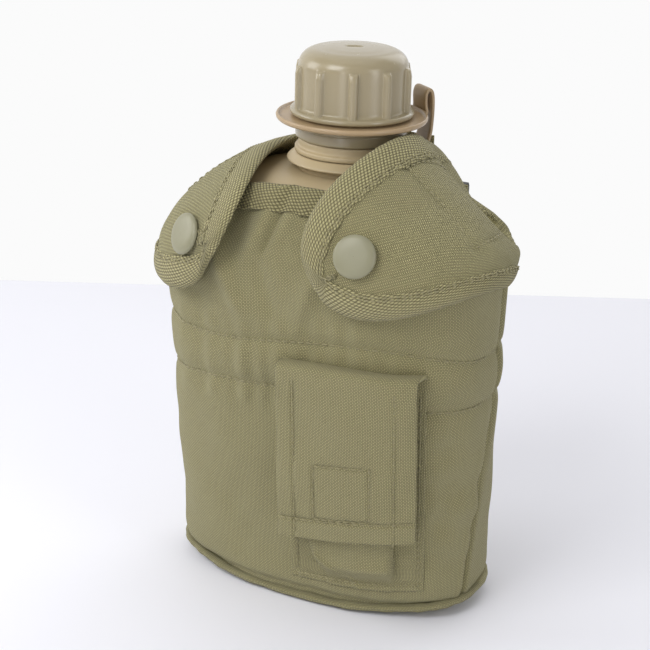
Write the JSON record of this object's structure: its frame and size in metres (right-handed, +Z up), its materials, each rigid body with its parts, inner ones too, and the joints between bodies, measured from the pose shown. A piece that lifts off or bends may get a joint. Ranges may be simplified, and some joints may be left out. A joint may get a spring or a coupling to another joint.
{
  "type": "canteen in a fabric cover",
  "caption": "Flat one-litre plastic water canteen with a screw cap on a strap, in an insulated fabric belt cover with two snap flaps and a small front pocket.",
  "frame": {"origin": "on the base plane, straight below the axis of the bottle's neck", "axes": "+Z up along the neck's axis; the front with the pocket faces -Y; +X is to the right of someone who looks at the front"},
  "size_m": [0.1446, 0.1025, 0.2175],
  "materials": {
    "bottle_plastic": "satin moulded polyethylene",
    "cap_plastic": "semi-gloss moulded plastic",
    "strap_plastic": "flexible satin plastic, slightly pinker than the cap",
    "gasket": "plain black rubber",
    "cover_fabric": "plain-weave nylon duck",
    "lining": "deep acrylic pile",
    "binding": "coarse woven binding tape",
    "webbing": "heavy woven webbing",
    "snap_metal": "satin olive paint",
    "hook_tape": "hook and loop tape",
    "keeper_steel": "black phosphate"
  },
  "bodies": {
    "root": {"bottle": "bottle_plastic", "strap_neck_ring": "bottle_plastic", "cover_front": "cover_fabric", "cover_back": "cover_fabric", "cover_bottom": "cover_fabric", "cover_lining": "lining", "bottom_piping": "cover_fabric", "mouth_binding": "binding", "snap_left_stud": "snap_metal", "snap_left_eyelet": "snap_metal", "snap_right_stud": "snap_metal", "snap_right_eyelet": "snap_metal", "pocket_body": "cover_fabric", "pocket_loop_tape": "hook_tape", "keeper_left_webbing": "webbing", "keeper_right_webbing": "webbing", "keeper_left": "keeper_steel", "keeper_right": "keeper_steel", "back_tab": "cover_fabric"},
    "strap_ring": {"strap_cap_ring": "strap_plastic", "strap_band": "strap_plastic"},
    "screw_cap": {"cap": "cap_plastic", "cap_gasket": "gasket"},
    "left_flap": {"flap_left": "cover_fabric", "flap_left_binding": "binding", "snap_left_cap": "snap_metal", "snap_left_socket": "snap_metal"},
    "right_flap": {"flap_right": "cover_fabric", "flap_right_binding": "binding", "snap_right_cap": "snap_metal", "snap_right_socket": "snap_metal"},
    "pocket_lid": {"pocket_flap": "cover_fabric", "pocket_hook_tape": "hook_tape"},
    "left_slide": {"keeper_left_slide": "keeper_steel"},
    "right_slide": {"keeper_right_slide": "keeper_steel"}
  },
  "joints": [
    {"name": "cap_lift", "type": "slide", "parent": "root", "child": "strap_ring", "axis": [0, 0, 1], "range_m": [0, 0.006], "deforming": ["strap_band"]},
    {"name": "cap_turn", "type": "hinge", "parent": "strap_ring", "child": "screw_cap", "pos_m": [0, 0, 0.2], "axis": [0, 0, 1], "range_deg": [0, 540]},
    {"name": "flap_left_open", "type": "hinge", "parent": "root", "child": "left_flap", "pos_m": [-0.0275, 0.0122, 0.1785], "axis": [-0.7971, -0.2453, -0.5518], "range_deg": [0, 104]},
    {"name": "flap_right_open", "type": "hinge", "parent": "root", "child": "right_flap", "pos_m": [0.0275, 0.007, 0.1863], "axis": [-0.7624, 0.1064, 0.6383], "range_deg": [0, 120]},
    {"name": "pocket_open", "type": "hinge", "parent": "root", "child": "pocket_lid", "pos_m": [0.025, -0.0489, 0.1106], "axis": [-0.996, -0.0896, 0], "range_deg": [0, 140]},
    {"name": "keeper_left_lock", "type": "slide", "parent": "root", "child": "left_slide", "axis": [0, 0, 1], "range_m": [0, 0.012]},
    {"name": "keeper_right_lock", "type": "slide", "parent": "root", "child": "right_slide", "axis": [0, 0, 1], "range_m": [0, 0.012]}
  ],
  "couplings": [
    {"joint": "cap_lift", "follows": "cap_turn", "m_per_rad": 0.00063662}
  ]
}
